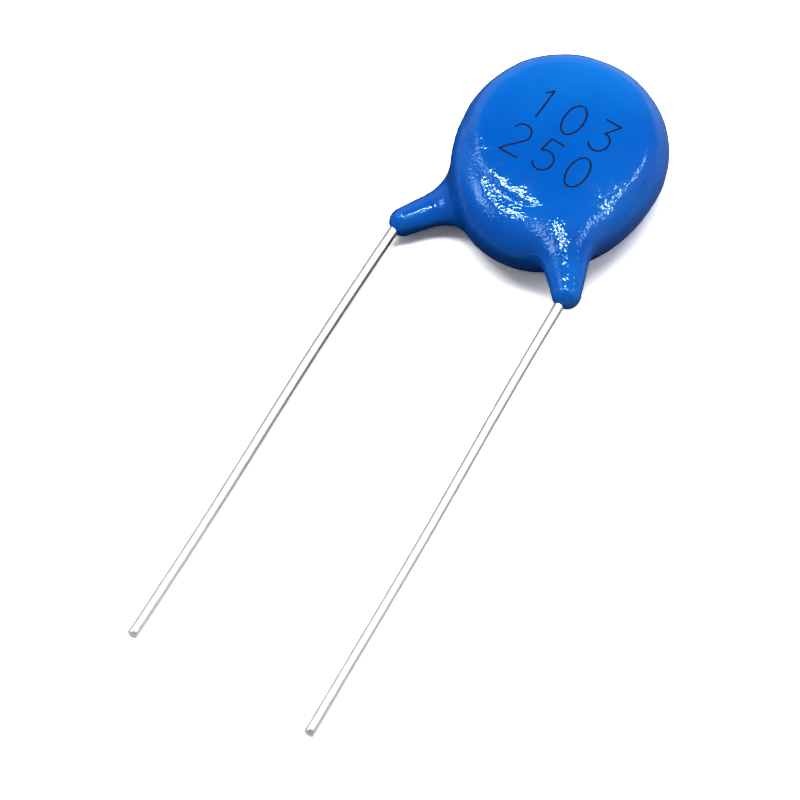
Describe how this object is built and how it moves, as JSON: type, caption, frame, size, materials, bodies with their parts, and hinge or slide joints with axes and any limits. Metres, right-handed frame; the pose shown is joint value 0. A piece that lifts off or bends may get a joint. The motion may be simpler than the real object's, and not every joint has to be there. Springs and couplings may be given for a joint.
{
  "type": "ceramic disc capacitor",
  "caption": "Round epoxy-coated ceramic disc capacitor with two long straight leads that leave the coat through short tapered legs.",
  "frame": {"origin": "under the centre of the ceramic disc, on the flat of the back face that the part lies on", "axes": "+Z out of the front face, -Y the way the leads leave, +X towards the lead soldered to the front face"},
  "size_m": [0.0145, 0.0495, 0.0051],
  "materials": {
    "epoxy": "glossy blue dip-coated epoxy, faint orange peel",
    "ceramic": "fired titanate ceramic, matt",
    "silver": "fired silver, satin",
    "solder": "tin solder, smooth and dull",
    "tinned_wire": "bright tinned wire"
  },
  "bodies": {
    "root": {"epoxy_coating": "epoxy", "ceramic_disc": "ceramic", "front_electrode": "silver", "back_electrode": "silver", "front_solder": "solder", "back_solder": "solder", "front_lead": "tinned_wire", "back_lead": "tinned_wire"}
  },
  "joints": []
}
